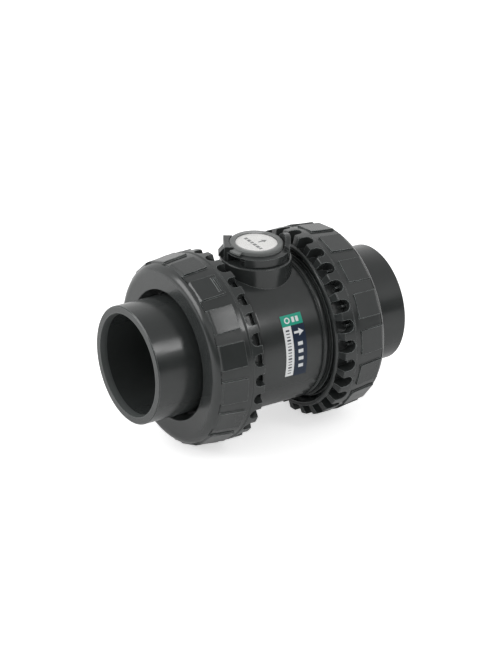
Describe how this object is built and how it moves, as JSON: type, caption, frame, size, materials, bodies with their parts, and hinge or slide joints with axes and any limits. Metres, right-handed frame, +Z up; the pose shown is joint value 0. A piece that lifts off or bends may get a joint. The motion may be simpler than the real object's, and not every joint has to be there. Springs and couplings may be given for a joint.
{
  "type": "true-union ball check valve",
  "caption": "Plastic true-union ball check valve for solvent-welded pipe, with geared union nuts and a tag housing on top.",
  "frame": {"origin": "centre of the inlet socket's pipe stop, on the flow axis", "axes": "+X along the flow from inlet to outlet, +Z up through the round boss and tag housing, +Y across"},
  "size_m": [0.1746, 0.1156, 0.1214],
  "materials": {
    "pvc_body": "moulded dark grey PVC, semi-matt",
    "pvc_nut": "moulded dark grey PVC, satin",
    "pvc_cap": "moulded dark grey PVC, satin",
    "pvc_inner": "moulded grey PVC",
    "pvc_core": "moulded grey PVC",
    "seal_rubber": "smooth black fluoro rubber",
    "screw_steel": "stainless steel",
    "tag_white": "white printed disc",
    "clear_plastic": "clear moulded cover",
    "label_green": "printed green label film",
    "label_white": "printed white label film",
    "label_navy": "printed dark blue label film"
  },
  "bodies": {
    "valve_body": {"valve_body": "pvc_body", "seat_seal": "seal_rubber", "anti_extrusion_ring": "pvc_inner", "seat_carrier": "pvc_inner", "carrier_o_ring": "seal_rubber", "inlet_socket_o_ring": "seal_rubber", "outlet_socket_o_ring": "seal_rubber", "tag_housing": "pvc_cap", "housing_screw": "screw_steel", "seal_material_label": "label_green", "serial_label": "label_white", "maker_label": "label_navy"},
    "ball": {"ball_core": "pvc_core", "ball_coating": "seal_rubber"},
    "inlet_connector": {"inlet_end_connector": "pvc_body"},
    "inlet_nut": {"inlet_union_nut": "pvc_nut"},
    "outlet_connector": {"outlet_end_connector": "pvc_body"},
    "outlet_nut": {"outlet_union_nut": "pvc_nut"},
    "tag_cover": {"clear_cover": "clear_plastic", "tag_disc": "tag_white"}
  },
  "joints": [
    {"name": "ball_lift", "type": "slide", "parent": "valve_body", "child": "ball", "axis": [1, 0, 0], "range_m": [0, 0.014]},
    {"name": "inlet_union", "type": "slide", "parent": "valve_body", "child": "inlet_connector", "axis": [-1, 0, 0], "range_m": [0, 0.02]},
    {"name": "inlet_nut_turn", "type": "hinge", "parent": "inlet_connector", "child": "inlet_nut", "pos_m": [0.0493, 0, 0], "axis": [-1, 0, 0], "range_deg": [0, 1201]},
    {"name": "outlet_union", "type": "slide", "parent": "valve_body", "child": "outlet_connector", "axis": [1, 0, 0], "range_m": [0, 0.02]},
    {"name": "outlet_nut_turn", "type": "hinge", "parent": "outlet_connector", "child": "outlet_nut", "pos_m": [0.0493, 0, 0], "axis": [1, 0, 0], "range_deg": [0, 1201]},
    {"name": "cover_lift", "type": "slide", "parent": "valve_body", "child": "tag_cover", "axis": [0, 0, 1], "range_m": [0, 0.012]}
  ],
  "couplings": [
    {"joint": "inlet_nut_turn", "follows": "inlet_union", "rad_per_m": 1047.2},
    {"joint": "outlet_nut_turn", "follows": "outlet_union", "rad_per_m": 1047.2}
  ]
}
